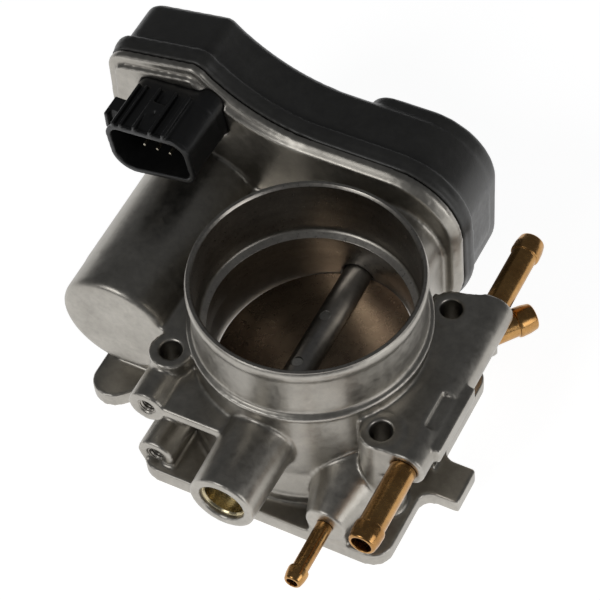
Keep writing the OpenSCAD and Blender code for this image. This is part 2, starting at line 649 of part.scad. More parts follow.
module shaft_seals() {
    color([0.06, 0.06, 0.06]) for (y = [needle_y + needle_len + 0.1, brg_y - 3.5]) difference() {
        ycyl(0, shaft_z, needle_r, y, y + 3.4);
        ycyl(0, shaft_z, shaft_r + run_gap, y - 1, y + 5);
        ycyl(0, shaft_z, needle_r - 1, y + 0.8, y + 2.6);
    }
}

module bearing_outer_ring() {
    color([0.65, 0.65, 0.66]) translate([0, brg_y, shaft_z]) rotate([-90, 0, 0]) rotate_extrude() difference() {
        translate([brg_r - 2.6, 0.02]) square([2.6, brg_w - 0.02]);
        translate([9, brg_w / 2]) circle(r = 2.4);
    }
}

module bearing_inner_ring() {
    color([0.65, 0.65, 0.66]) translate([0, brg_y, shaft_z]) rotate([-90, 0, 0]) rotate_extrude() difference() {
        translate([shaft_r, 0.1]) square([2.6, brg_w - 0.2]);
        translate([9, brg_w / 2]) circle(r = 2.4);
    }
}

module bearing_balls() {
    color([0.7, 0.7, 0.72]) translate([0, brg_y + brg_w / 2, shaft_z]) rotate([-90, 0, 0]) {
        for (i = [0:8]) rotate([0, 0, i * 40]) translate([9, 0, 0]) sphere(r = 2.36, $fn = 36);
        rotate_extrude() translate([8.6, -0.6]) square([0.8, 1.2]);
    }
}

module boss_plug() {
    color([0.75, 0.68, 0.42]) difference() {
        ycyl(0, shaft_z, needle_r, plug_y, plug_y + plug_len);
        ycyl(0, shaft_z, needle_r - 0.9, plug_y - 1, plug_y + plug_len - 1);
        ycyl(0, shaft_z, needle_r - 0.4, plug_y - 0.01, plug_y + 0.6, needle_r - 0.9);
    }
}

// close-wound torsion spring drawn as joined turns, with one straight leg
module return_spring() {
    wire = 1.3;
    color([0.4, 0.4, 0.4]) {
        translate([0, brg_y + brg_w + 1.3, shaft_z]) rotate([-90, 0, 0]) rotate_extrude() for (i = [0:3])
            translate([13.4, wire / 2 + i * wire * 0.96]) circle(r = wire / 2, $fn = 24);
        translate([13.4, brg_y + brg_w + 1.3 + wire / 2, shaft_z]) cylinder(r = wire / 2, h = 10.5);
    }
}

module spring_sleeve() {
    color([0.8, 0.78, 0.7]) difference() {
        ycyl(0, shaft_z, 12.2, brg_y + brg_w + 0.9, sector_y - 0.6);
        ycyl(0, shaft_z, 9.4, 40, 60);
    }
}

module front_coolant_nipple() {
    color([0.72, 0.5, 0.22]) translate([rail_x, rail_front, rail_z]) rotate([0, 0, 180])
        pipe(pipe_d / 2, barb_d / 2, pipe_len, 6.2, 7.9, pipe_d / 2 - 1);
}

module rear_coolant_nipple() {
    color([0.72, 0.5, 0.22]) translate([rail_x, rail_rear, rail_z])
        pipe(pipe_d / 2 - 0.1, barb_d / 2 - 0.1, pipe_len, 6.2, 7.9, pipe_d / 2 - 1);
}

module vacuum_nipple() {
    color([0.72, 0.5, 0.22]) translate([vac_x, -43.2, vac_z]) rotate([0, 0, 180])
        pipe(vac_d / 2, vac_d / 2 + 0.7, 20.6, 4.8, 9, vac_d / 2 - 0.8);
}

module side_nipple() {
    color([0.72, 0.5, 0.22]) translate([side_x, side_y, side_z]) rotate([0, 0, side_dir - 90])
        pipe(pipe_d / 2, barb_d / 2, 15, 6.2, 4.8, pipe_d / 2 - 1);
}

// small drive-in plug that closes the drilling under the rail
module rail_plug() {
    color([0.7, 0.68, 0.6]) translate([rail_x - 1, -14, rail_z - rail_r]) cylinder(r = 2.6, h = 2);
}

throttle_housing();
gear_cover();
cover_seal();
cover_screws();
connector_shell();
connector_terminals();
lead_frame();
motor_can();
motor_magnets();
motor_end_plate();
motor_screws();
motor_wave_spring();
motor_rotor();
motor_pinion();
intermediate_pin();
intermediate_gear();
sector_gear();
sensor_magnet();
sensor_board();
throttle_shaft();
throttle_plate();
plate_screws();
needle_bearing();
shaft_seals();
bearing_outer_ring();
bearing_inner_ring();
bearing_balls();
boss_plug();
return_spring();
spring_sleeve();
front_coolant_nipple();
rear_coolant_nipple();
vacuum_nipple();
side_nipple();
rail_plug();
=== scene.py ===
# %% [markdown]
# # Electronic throttle body
# The part is an air valve for an engine. A round plate turns in a die-cast bore, a small motor drives it
# through two pairs of gears, and coolant runs through a rail at the side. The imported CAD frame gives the
# place and motion of every piece. This lesson gives each piece its finish, and replaces the pieces whose
# real surface is softer or finer than the CAD can say.

# %% Frame and tools
import json
import bmesh
import bpy
import numpy as np
from mathutils import Matrix, Vector


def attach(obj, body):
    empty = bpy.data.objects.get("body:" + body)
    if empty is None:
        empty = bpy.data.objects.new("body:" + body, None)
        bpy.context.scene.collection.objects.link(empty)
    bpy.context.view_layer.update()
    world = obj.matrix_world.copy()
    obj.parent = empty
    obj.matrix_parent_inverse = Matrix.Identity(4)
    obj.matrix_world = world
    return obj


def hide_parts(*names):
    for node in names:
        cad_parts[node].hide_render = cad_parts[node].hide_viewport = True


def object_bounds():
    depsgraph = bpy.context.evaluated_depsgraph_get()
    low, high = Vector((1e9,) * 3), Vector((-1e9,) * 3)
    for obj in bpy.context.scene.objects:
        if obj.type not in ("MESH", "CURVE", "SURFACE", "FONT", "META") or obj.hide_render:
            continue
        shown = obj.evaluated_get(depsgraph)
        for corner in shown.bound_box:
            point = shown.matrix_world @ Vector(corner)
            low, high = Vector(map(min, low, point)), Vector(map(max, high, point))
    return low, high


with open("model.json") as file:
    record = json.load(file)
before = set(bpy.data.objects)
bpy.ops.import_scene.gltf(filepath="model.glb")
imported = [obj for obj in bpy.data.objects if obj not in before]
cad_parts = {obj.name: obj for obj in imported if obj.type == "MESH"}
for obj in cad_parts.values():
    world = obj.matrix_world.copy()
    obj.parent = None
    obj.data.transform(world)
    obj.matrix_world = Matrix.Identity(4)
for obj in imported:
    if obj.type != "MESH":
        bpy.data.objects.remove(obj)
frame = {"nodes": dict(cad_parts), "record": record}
cad_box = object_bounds()
MM = 0.001
print("CAD box in mm:", [[round(c / MM, 1) for c in corner] for corner in cad_box])

# %% [markdown]
# ## Camera
# A long lens three quarters of a metre away keeps the rim of the intake nearly round and the edges
# nearly parallel. The three columns of the matrix are the camera's right, up and back directions. They were
# worked out once from the size of the bore and the spacing of the mounting holes.

# %% Camera
CAMERA_PLACE = (0.2203, -0.3624, 0.6162)
CAMERA_RIGHT = (0.8895, 0.4528, -0.0610)
CAMERA_UP = (-0.3300, 0.7289, 0.5998)
CAMERA_BACK = (0.3161, -0.5134, 0.7978)

camera_data = bpy.data.cameras.new("camera")
camera_data.lens = 148.8
camera_data.sensor_width = 36.0
camera_data.clip_start = 0.01
camera_data.clip_end = 20.0
camera = bpy.data.objects.new("camera", camera_data)
turn = Matrix((CAMERA_RIGHT, CAMERA_UP, CAMERA_BACK)).transposed().to_4x4()
camera.matrix_world = Matrix.Translation(CAMERA_PLACE) @ turn
bpy.context.scene.collection.objects.link(camera)
bpy.context.scene.camera = camera
print("camera is", round(Vector(CAMERA_PLACE).length, 3), "m from the bore")

# %% [markdown]
# ## Node helpers
# Every finish is made of nodes. A small helper adds a node, sets its values and joins its inputs, so that
# a material reads as a short list. Another one makes a shader node group with named sockets, because
# grain and edge wear are used by many finishes.

# %% Node helpers
def add(tree, kind, values=None, **settings):
    """A new node of that kind. settings are the node's own fields. values maps an input to a number or to
    another node's output, which is then joined to it."""
    node = tree.nodes.new(kind)
    for field, value in settings.items():
        setattr(node, field, value)
    for name, value in (values or {}).items():
        if isinstance(value, bpy.types.NodeSocket):
            tree.links.new(value, node.inputs[name])
        else:
            node.inputs[name].default_value = value
    return node


def maths(tree, operation, first, second=0.5, clamp=False):
    """The output of a Math node."""
    node = add(tree, "ShaderNodeMath", {0: first, 1: second}, operation=operation, use_clamp=clamp)
    return node.outputs[0]


def mix_colour(tree, share, first, second, blend="MIX"):
    """The colour output of a Mix node: first where share is 0, second where it is 1."""
    node = tree.nodes.new("ShaderNodeMix")
    node.data_type = "RGBA"
    node.blend_type = blend
    for slot_index, value in ((0, share), (6, first), (7, second)):
        if isinstance(value, bpy.types.NodeSocket):
            tree.links.new(value, node.inputs[slot_index])
        else:
            node.inputs[slot_index].default_value = value
    return node.outputs[2]


def remap(tree, value, low, high, to_low=0.0, to_high=1.0):
    """A value brought from low..high to to_low..to_high, and kept inside."""
    node = add(tree, "ShaderNodeMapRange", {"Value": value, "From Min": low, "From Max": high,
                                            "To Min": to_low, "To Max": to_high})
    return node.outputs["Result"]


def start_group(name, inputs, outputs):
    """A shader node group with named sockets. inputs and outputs are lists of (name, type, value)."""
    tree = bpy.data.node_groups.new(name, "ShaderNodeTree")
    for label, kind, value in inputs:
        socket = tree.interface.new_socket(name=label, in_out="INPUT", socket_type="NodeSocket" + kind)
        socket.default_value = value
    for label, kind in outputs:
        tree.interface.new_socket(name=label, in_out="OUTPUT", socket_type="NodeSocket" + kind)
    return tree, tree.nodes.new("NodeGroupInput"), tree.nodes.new("NodeGroupOutput")


print("node helpers are ready")

# %% [markdown]
# ## Cast skin
# A die-cast face isn't one grey. Broad stains run over it where the metal cooled at different speeds, a
# finer mottle lies on top, and the surface itself has a tight grain. Three sizes of noise give the three,
# and the group hands out a colour, a roughness and a height.

# %% Cast skin group
def cast_skin_group():
    """Colour = base and stain mixed by broad noise, then darkened by speckle. Roughness = base roughness
    plus a share of the broad noise. Height = fine grain plus a little of the mottle."""
    tree, given, result = start_group(
        "cast_skin",
        [("Base", "Color", (0.5, 0.5, 0.5, 1)), ("Stain", "Color", (0.4, 0.4, 0.4, 1)),
         ("Roughness", "Float", 0.4), ("Stain Scale", "Float", 70.0), ("Grain Scale", "Float", 2500.0),
         ("Grain", "Float", 0.5)],
        [("Color", "Color"), ("Roughness", "Float"), ("Height", "Float")])
    place = add(tree, "ShaderNodeTexCoord").outputs["Object"]
    broad = add(tree, "ShaderNodeTexNoise",
                {"Vector": place, "Scale": given.outputs["Stain Scale"], "Detail": 5.0, "Roughness": 0.6})
    finer = maths(tree, "MULTIPLY", given.outputs["Stain Scale"], 6.0)
    mottle = add(tree, "ShaderNodeTexNoise", {"Vector": place, "Scale": finer, "Detail": 4.0,
                                              "Roughness": 0.65, "Distortion": 0.4})
    grain = add(tree, "ShaderNodeTexNoise", {"Vector": place, "Scale": given.outputs["Grain Scale"],
                                             "Detail": 3.0, "Roughness": 0.6})
    stain = remap(tree, broad.outputs[0], 0.36, 0.66)
    colour = mix_colour(tree, stain, given.outputs["Base"], given.outputs["Stain"])
    speckle = remap(tree, mottle.outputs[0], 0.3, 0.75, 0.84, 1.12)
    tint = add(tree, "ShaderNodeCombineColor", {0: speckle, 1: speckle, 2: speckle})
    colour = mix_colour(tree, 1.0, colour, tint.outputs[0], "MULTIPLY")
    tree.links.new(colour, result.inputs["Color"])
    rough = maths(tree, "ADD", remap(tree, mottle.outputs[0], 0.3, 0.75, -0.07, 0.07),
                  given.outputs["Roughness"], clamp=True)
    tree.links.new(rough, result.inputs["Roughness"])
    height = maths(tree, "MULTIPLY", grain.outputs[0], given.outputs["Grain"])
    height = maths(tree, "ADD", height, maths(tree, "MULTIPLY", mottle.outputs[0], 0.8))
    tree.links.new(height, result.inputs["Height"])
    return tree


CAST_SKIN = cast_skin_group()
print("group:", CAST_SKIN.name)

# %% [markdown]
# ## Edge wear and painted highlight
# Corners of a casting or a moulding lose their skin first and also catch the light, so this mask paints them
# paler:
# partly as worn skin and partly as a painted highlight. The Bevel node gives the normal that a slightly
# rounded edge would have. Where it differs from the face's own normal there is an edge, so the difference is
# the mask.
# The same rounded normal also catches the light, as a broken edge does.

# %% Edge wear and highlight group
def edge_wear_and_highlight_group():
    """Edge = 1 - (rounded normal . own normal), scaled up and broken by noise. Normal = rounded normal."""
    tree, given, result = start_group(
        "edge_wear_and_highlight", [("Radius", "Float", 0.0005), ("Strength", "Float", 5.0), ("Breakup", "Float", 300.0)],
        [("Edge", "Float"), ("Normal", "Vector")])
    rounded = add(tree, "ShaderNodeBevel", {"Radius": given.outputs["Radius"]}, samples=6)
    own = add(tree, "ShaderNodeNewGeometry").outputs["Normal"]
    same = add(tree, "ShaderNodeVectorMath", {0: rounded.outputs[0], 1: own}, operation="DOT_PRODUCT")
    edge = maths(tree, "MULTIPLY", maths(tree, "SUBTRACT", 1.0, same.outputs["Value"]),
                 given.outputs["Strength"], clamp=True)
    place = add(tree, "ShaderNodeTexCoord").outputs["Object"]
    noise = add(tree, "ShaderNodeTexNoise",
                {"Vector": place, "Scale": given.outputs["Breakup"], "Detail": 3.0})
    # Noise breaks up the edge mask, which paints corners paler as wear and as a painted highlight.
    edge_breakup = remap(tree, noise.outputs[0], 0.35, 0.6, 0.25, 1.0)
    tree.links.new(maths(tree, "MULTIPLY", edge, edge_breakup), result.inputs["Edge"])
    tree.links.new(rounded.outputs[0], result.inputs["Normal"])
    return tree


EDGE_WEAR_AND_HIGHLIGHT = edge_wear_and_highlight_group()
print("group:", EDGE_WEAR_AND_HIGHLIGHT.name)

# %% [markdown]
# ## Tool marks
# A turned or drilled face carries fine rings round its axis. The rings are a function of the distance
# along the axis and from it, and don't change round it. Stretching a noise texture that way gives rings
# of uneven strength, as a real tool leaves.

# %% Tool marks group
def tool_marks_group():
    """With r = distance from the axis and h = distance along it, Height = noise(r, h) at a fine scale,
    and Tone is the same noise at a coarser one. Centre is a point on the axis. Turn brings the axis to Z."""
    tree, given, result = start_group(
        "tool_marks",
        [("Centre", "Vector", (0, 0, 0)), ("Turn", "Vector", (0, 0, 0)), ("Scale", "Float", 2600.0)],
        [("Height", "Float"), ("Tone", "Float")])
    place = add(tree, "ShaderNodeTexCoord").outputs["Object"]
    moved = add(tree, "ShaderNodeVectorMath", {0: place, 1: given.outputs["Centre"]},
                operation="SUBTRACT")
    turned = add(tree, "ShaderNodeVectorRotate",
                 {"Vector": moved.outputs[0], "Rotation": given.outputs["Turn"]},
                 rotation_type="EULER_XYZ")
    split = add(tree, "ShaderNodeSeparateXYZ", {0: turned.outputs[0]})
    x_squared = maths(tree, "MULTIPLY", split.outputs[0], split.outputs[0])
    y_squared = maths(tree, "MULTIPLY", split.outputs[1], split.outputs[1])
    across = maths(tree, "SQRT", maths(tree, "ADD", x_squared, y_squared))
    rings = add(tree, "ShaderNodeCombineXYZ", {0: across, 1: split.outputs[2], 2: 0.0})
    fine = add(tree, "ShaderNodeTexNoise", {"Vector": rings.outputs[0], "Scale": given.outputs["Scale"],
                                            "Detail": 3.0, "Roughness": 0.7})
    coarse = add(tree, "ShaderNodeTexNoise",
                 {"Vector": rings.outputs[0], "Scale": maths(tree, "MULTIPLY", given.outputs["Scale"], 0.14),
                  "Detail": 2.0})
    tree.links.new(fine.outputs[0], result.inputs["Height"])
    tree.links.new(coarse.outputs[0], result.inputs["Tone"])
    return tree


TOOL_MARKS = tool_marks_group()
print("group:", TOOL_MARKS.name)

# %% [markdown]
# ## Finishes
# All the finishes are built by one recipe: the cast skin gives colour, roughness and height with that
# finish's own numbers, and the edge mask paints the corners paler, partly as worn skin and partly as a
# painted highlight.
# What sets a finish apart is whether it is metal, how rough it is and how strong its grain is.

# %% Finish recipe
# Bulge ranges that set the painted highlight on ridges and the painted shade in hollows.
HIGHLIT_RIDGE_BULGE = (150.0, 900.0)
SHADED_HOLLOW_BULGE = (-80.0, -600.0)


def use_group(tree, group, **values):
    """A group placed in a material, with that material's values. Underscores stand for spaces."""
    node = tree.nodes.new("ShaderNodeGroup")
    node.node_tree = group
    for label, value in values.items():
        node.inputs[label.replace("_", " ")].default_value = value
    return node


def finish(name, base, stain, metallic, roughness, edge_wear_and_highlight_colour=None, radius=0.0004, stain_scale=70.0,
           grain_scale=2500.0, grain=0.5, bump=0.00002, marks=None, painted_hollow_shade_colour=None):
    """A material from the cast skin, the edge mask and, for a turned piece, the tool marks. radius is that
    of its corners and bump the height of its grain, in metres. marks is (centre, turn, scale, height in
    metres). The edge colour paints corners paler, partly as worn skin and partly as a painted highlight. The
    hollow colour is for a softened casting, whose mesh carries how far its surface bulges: that paints a
    highlight on its ridges and paints shade into its hollows."""
    material = bpy.data.materials.new(name)
    material.use_nodes = True
    tree = material.node_tree
    shader = tree.nodes["Principled BSDF"]
    skin = use_group(tree, CAST_SKIN, Base=(*base, 1), Stain=(*stain, 1), Roughness=roughness,
                     Stain_Scale=stain_scale, Grain_Scale=grain_scale, Grain=grain)
    edge_shine_and_wear = use_group(tree, EDGE_WEAR_AND_HIGHLIGHT, Radius=radius)
    colour = skin.outputs["Color"]
    # Corners painted paler: partly worn skin, partly a painted highlight.
    if edge_wear_and_highlight_colour:
        colour = mix_colour(tree, edge_shine_and_wear.outputs["Edge"], colour, (*edge_wear_and_highlight_colour, 1))
    # Painted highlight on convex ridges, then painted shade darkening the hollows, both from the surface's
    # bulge.
    if painted_hollow_shade_colour:
        bulge = add(tree, "ShaderNodeAttribute", attribute_name="bulge").outputs["Fac"]
        ridge = remap(tree, bulge, *HIGHLIT_RIDGE_BULGE, 0.0, 0.5)
        colour = mix_colour(tree, ridge, colour, (*edge_wear_and_highlight_colour, 1))
        hollow = remap(tree, bulge, *SHADED_HOLLOW_BULGE, 0.0, 0.6)
        colour = mix_colour(tree, hollow, colour, (*painted_hollow_shade_colour, 1))
    normal = edge_shine_and_wear.outputs["Normal"]
    if marks:
        centre, turn_by, scale, depth = marks
        rings = use_group(tree, TOOL_MARKS, Centre=centre, Turn=turn_by, Scale=scale)
        tone = remap(tree, rings.outputs["Tone"], 0.3, 0.7, 0.86, 1.1)
        tint = add(tree, "ShaderNodeCombineColor", {0: tone, 1: tone, 2: tone})
        colour = mix_colour(tree, 1.0, colour, tint.outputs[0], "MULTIPLY")
        normal = add(tree, "ShaderNodeBump", {"Height": rings.outputs["Height"], "Distance": depth,
                                              "Strength": 1.0, "Normal": normal}).outputs[0]
    normal = add(tree, "ShaderNodeBump", {"Height": skin.outputs["Height"], "Distance": bump,
                                          "Strength": 1.0, "Normal": normal}).outputs[0]
    tree.links.new(colour, shader.inputs["Base Color"])
    tree.links.new(skin.outputs["Roughness"], shader.inputs["Roughness"])
    tree.links.new(normal, shader.inputs["Normal"])
    shader.inputs["Metallic"].default_value = metallic
    return material


print("finish recipe is ready")

# %% [markdown]
# The main casting is a warm satin grey with a soft mottle. Its corners are painted paler, partly as blasted
# skin and partly as a painted highlight, and its hollows are painted darker as painted shade. Faces that a
# cutter has passed over are smoother and show its rings. The cover is a glass-filled nylon, dull and
# slightly brown, with the same painted highlight on its corners and painted shade in its hollows. The
# connector is the same kind of plastic, but nearly black and a little glossier. The hose pipes are a golden
# brass passivation, and the plate a dark reddish bronze with turning marks.

# %% Finishes
Y_TO_Z = (1.5708, 0.0, 0.0)
NO_TURN = (0.0, 0.0, 0.0)
BORE_AXIS = (0.0, 0.0, 0.0)
SHAFT_AXIS = (0.0, 0.0, 29.5 * MM)
FINISHES = {
    # Third colour in a finish = paler corners (wear and painted highlight); the hollow colour = painted
    # shade in hollows.
    "cast_aluminium": finish("cast_aluminium", (0.45, 0.427, 0.385), (0.36, 0.34, 0.305), 1.0, 0.38,
                             (0.60, 0.575, 0.53), bump=0.00002, grain=0.6, radius=0.0003,
                             painted_hollow_shade_colour=(0.26, 0.24, 0.21)),
    "machined_aluminium": finish("machined_aluminium", (0.45, 0.425, 0.385), (0.38, 0.355, 0.32), 1.0, 0.33,
                                 bump=0.0000004, radius=0.0, stain_scale=160.0,
                                 marks=(BORE_AXIS, NO_TURN, 1500.0, 0.000001)),
    "cover_plastic": finish("cover_plastic", (0.046, 0.045, 0.042), (0.036, 0.035, 0.033), 0.0, 0.40,
                            (0.10, 0.097, 0.09), bump=0.00003, grain=1.0, grain_scale=1800.0, radius=0.0004,
                            painted_hollow_shade_colour=(0.012, 0.012, 0.011)),
    "connector_plastic": finish("connector_plastic", (0.012, 0.012, 0.012), (0.010, 0.010, 0.010), 0.0, 0.36,
                                (0.04, 0.04, 0.04), bump=0.00001, grain=0.6),
    "seal_rubber": finish("seal_rubber", (0.015, 0.015, 0.015), (0.012, 0.012, 0.012), 0.0, 0.6),
    "zinc_steel": finish("zinc_steel", (0.56, 0.56, 0.54), (0.46, 0.46, 0.45), 1.0, 0.34, (0.7, 0.7, 0.68),
                         stain_scale=200.0, bump=0.00001),
    "tinned_copper": finish("tinned_copper", (0.74, 0.68, 0.55), (0.64, 0.56, 0.42), 1.0, 0.3,
                            stain_scale=300.0, bump=0.000006),
    "ferrite": finish("ferrite", (0.05, 0.05, 0.055), (0.035, 0.035, 0.04), 0.0, 0.55, stain_scale=200.0),
    "spring_steel": finish("spring_steel", (0.30, 0.29, 0.28), (0.22, 0.21, 0.20), 1.0, 0.33,
                           stain_scale=300.0, bump=0.000008),
    "bright_steel": finish("bright_steel", (0.60, 0.60, 0.59), (0.52, 0.52, 0.51), 1.0, 0.24,
                           stain_scale=150.0, bump=0.000001,
                           marks=(SHAFT_AXIS, Y_TO_Z, 2000.0, 0.0000008)),
    "brass": finish("brass", (0.53, 0.30, 0.11), (0.41, 0.215, 0.075), 1.0, 0.26, stain_scale=140.0,
                    bump=0.0000003, grain=0.2, radius=0.0),
    "gear_plastic": finish("gear_plastic", (0.72, 0.70, 0.62), (0.66, 0.63, 0.54), 0.0, 0.4, bump=0.00001),
    "sector_plastic": finish("sector_plastic", (0.025, 0.025, 0.025), (0.02, 0.02, 0.02), 0.0, 0.42,
                             (0.06, 0.06, 0.06), bump=0.00001),
    "board_green": finish("board_green", (0.012, 0.08, 0.03), (0.01, 0.06, 0.025), 0.0, 0.3, bump=0.000006),
    "shaft_steel": finish("shaft_steel", (0.40, 0.38, 0.355), (0.31, 0.295, 0.275), 1.0, 0.36,
                          (0.62, 0.60, 0.57), bump=0.000001,
                          marks=(SHAFT_AXIS, Y_TO_Z, 1400.0, 0.000001)),
    "plate_bronze": finish("plate_bronze", (0.33, 0.25, 0.175), (0.25, 0.175, 0.125), 1.0, 0.30,
                           (0.5, 0.42, 0.34), bump=0.000001, stain_scale=50.0,
                           marks=(SHAFT_AXIS, NO_TURN, 1200.0, 0.000001)),
    "yellow_zinc": finish("yellow_zinc", (0.60, 0.50, 0.30), (0.47, 0.42, 0.29), 1.0, 0.26,
                          (0.85, 0.75, 0.5), stain_scale=160.0, bump=0.000008),
}
print(len(FINISHES), "finishes")

# %% [markdown]
# ## Finishes on the CAD nodes
# The record says which slot each node takes its finish from, so one loop dresses them all.

# %% Dress the CAD nodes
slot_of = {part["node"]: part["material_slot"] for part in frame["record"]["subparts"]}
for node_name, node_object in frame["nodes"].items():
    node_object.data.materials.clear()
    node_object.data.materials.append(FINISHES[slot_of[node_name]])
print(len(slot_of), "nodes dressed")

# %% [markdown]
# ## Softened castings
# A casting has no sharp corners: metal doesn't fill them, and blasting rounds what is left. The CAD solid
# is right in size but sharp, so a merged copy of its mesh is rebuilt from small cubes of space and relaxed
# a few times. Every corner becomes a small round and every hollow a small fillet, as in the real die. The
# flat and round faces stay where they were.

# %% Softened copy of a CAD node
def mesh_of(piece):
    """The piece's mesh with its modifiers worked out."""
    bpy.context.view_layer.update()
    shown = piece.evaluated_get(bpy.context.evaluated_depsgraph_get())
    return bpy.data.meshes.new_from_object(shown)


def points_of(mesh):
    """All corners of a mesh as rows of x, y, z."""
    flat = np.empty(len(mesh.vertices) * 3)
    mesh.vertices.foreach_get("co", flat)
    return flat.reshape(-1, 3)


def soften(node, cube, rounds, triangles):
    """A copy of a CAD node whose surface is rebuilt from cubes of that size and relaxed that many times,
    each time moving a corner halfway to the mean of its neighbours. It ends near that many triangles."""
    rebuilt = frame["nodes"][node].data.copy()
    workshop = bmesh.new()
    workshop.from_mesh(rebuilt)
    bmesh.ops.remove_doubles(workshop, verts=workshop.verts, dist=1e-7)
    workshop.to_mesh(rebuilt)
    workshop.free()
    piece = bpy.data.objects.new(node + "_soft", rebuilt)
    bpy.context.scene.collection.objects.link(piece)
    cubes = piece.modifiers.new("cubes", "REMESH")
    cubes.mode = "VOXEL"
    cubes.voxel_size = cube
    relax = piece.modifiers.new("relax", "SMOOTH")
    relax.iterations = rounds
    relax.factor = 0.5
    piece.data = mesh_of(piece)
    piece.modifiers.clear()
    whole = 2 * len(piece.data.polygons)
    if whole > triangles:
        thin = piece.modifiers.new("thin", "DECIMATE")
        thin.ratio = triangles / whole
        piece.data = mesh_of(piece)
        piece.modifiers.clear()
    faces = piece.data.polygons
    faces.foreach_set("use_smooth", np.ones(len(faces), bool))
    piece.data.name = node + "_soft"
    piece.data.materials.clear()
    piece.data.materials.append(FINISHES[slot_of[node]])
    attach(piece, "housing")
    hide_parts(node)
    print(node, "softened:", whole, "triangles, kept", sum(len(face.vertices) - 2 for face in faces))
    return piece


def write_bulge(mesh):
    """Stores how far the surface bulges at each corner, in 1/metre: the mean over its edges of the change
    of normal along the edge, divided by the edge's length. It is positive on a ridge."""
    mesh.update()
    points = points_of(mesh)
    normals = np.empty(len(points) * 3)
    mesh.vertices.foreach_get("normal", normals)
    normals = normals.reshape(-1, 3)
    ends = np.empty(len(mesh.edges) * 2, np.int32)
    mesh.edges.foreach_get("vertices", ends)
    first, second = ends.reshape(-1, 2).T
    step = points[second] - points[first]
    bend = ((normals[second] - normals[first]) * step).sum(1) / np.maximum((step ** 2).sum(1), 1e-12)
    count = np.bincount(ends, minlength=len(points))
    total = np.bincount(first, bend, len(points)) + np.bincount(second, bend, len(points))
    mesh.attributes.new("bulge", "FLOAT", "POINT").data.foreach_set("value", total / np.maximum(count, 1))


casting = soften("throttle_housing", 0.00058, 5, 190000)
cover = soften("gear_cover", 0.0007, 5, 120000)
shell = soften("connector_shell", 0.00033, 3, 90000)
for piece in (casting, cover, shell):
    write_bulge(piece.data)

# %% [markdown]
# ## Turned pieces
# The hose pipes, the plug and the machined inside of the intake are turned on a lathe, so each is one
# profile carried round an axis. The profile is closed, and its corners are rounded, because a cutter
# and a polishing drum leave no sharp edge. The grid of points closes on itself in both directions.


def rounded(corners, steps=4):
    """A closed profile with rounded corners. Each corner is (r, z, reach). The round starts that reach
    before the corner, ends that reach after it, and follows (1-t)^2 start + 2t(1-t) corner + t^2 end."""
    spots = np.array([corner[:2] for corner in corners], float)
    reach = np.array([corner[2] for corner in corners], float)[:, None]
    back = np.roll(spots, 1, 0) - spots
    forth = np.roll(spots, -1, 0) - spots
    start = spots + back / np.linalg.norm(back, axis=1, keepdims=True) * reach
    end = spots + forth / np.linalg.norm(forth, axis=1, keepdims=True) * reach
    t = np.linspace(0, 1, steps + 1)[None, :, None]
    curve = (1 - t) ** 2 * start[:, None] + 2 * t * (1 - t) * spots[:, None] + t ** 2 * end[:, None]
    return curve.reshape(-1, 2)


def lathe(profile, sides):
    """The profile point (r, z) at angle a goes to (r cos a, r sin a, z), for that many angles."""
    angle = np.linspace(0, 2 * np.pi, sides, endpoint=False)[:, None]
    r, z = profile.T
    return np.stack([np.cos(angle) * r, np.sin(angle) * r, np.broadcast_to(z, (sides, len(z)))], -1)


def grid_piece(name, points, origin, direction, finish_name):
    """A housing piece from a grid of points in mm that closes in both directions. The grid's Z is turned
    to the direction and its origin moved to that place. Faces are turned round if the enclosed volume, a
    sixth of the sum of the triple products of the triangles, comes out negative."""
    turn = np.array(Vector((0, 0, 1)).rotation_difference(Vector(direction)).to_matrix())
    placed = (points @ turn.T + np.array(origin)) * MM
    rows, columns = placed.shape[:2]
    index = np.arange(rows * columns).reshape(rows, columns)
    ahead = np.roll(index, -1, 0)
    quads = np.stack([index, np.roll(index, -1, 1), np.roll(ahead, -1, 1), ahead], -1).reshape(-1, 4)
    flat = placed.reshape(-1, 3)
    a, b, c, d = (flat[quads[:, corner]] for corner in range(4))
    volume = ((np.cross(a, b) * c).sum() + (np.cross(a, c) * d).sum()) / 6
    if volume < 0:
        quads = quads[:, ::-1]
    mesh = bpy.data.meshes.new(name)
    mesh.from_pydata(flat.tolist(), [], quads.tolist())
    mesh.polygons.foreach_set("use_smooth", np.ones(len(quads), bool))
    mesh.materials.append(FINISHES[finish_name])
    piece = bpy.data.objects.new(name, mesh)
    bpy.context.scene.collection.objects.link(piece)
    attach(piece, "housing")
    print(name, len(quads) * 2, "triangles,", round(abs(volume) / MM ** 3, 1), "mm3")
    return piece


# %% Hose pipes
def hose_pipe(node, origin, direction, radius, barb_radius, length, barb, tail, inner):
    """A pipe with a pressed tail behind its collar and one barb at its end: a ridge, then a slow taper."""
    ridge = length - barb
    profile = rounded([
        (inner, -tail, 0.15), (radius - 0.4, -tail, 0.3), (radius - 0.4, 0.0, 0.05), (radius, 0.0, 0.15),
        (radius, ridge, 0.2), (barb_radius - 0.15, ridge + 0.15, 0.15), (barb_radius, ridge + 0.8, 0.35),
        (barb_radius - 0.1, length - barb * 0.45, 0.5), (barb_radius - 0.55, length - 0.35, 0.3),
        (barb_radius - 0.95, length, 0.2), (inner + 0.1, length, 0.2), (inner, length - 0.6, 0.25)])
    piece = grid_piece(node + "_turned", lathe(profile, 96), origin, direction, "brass")
    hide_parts(node)
    return piece


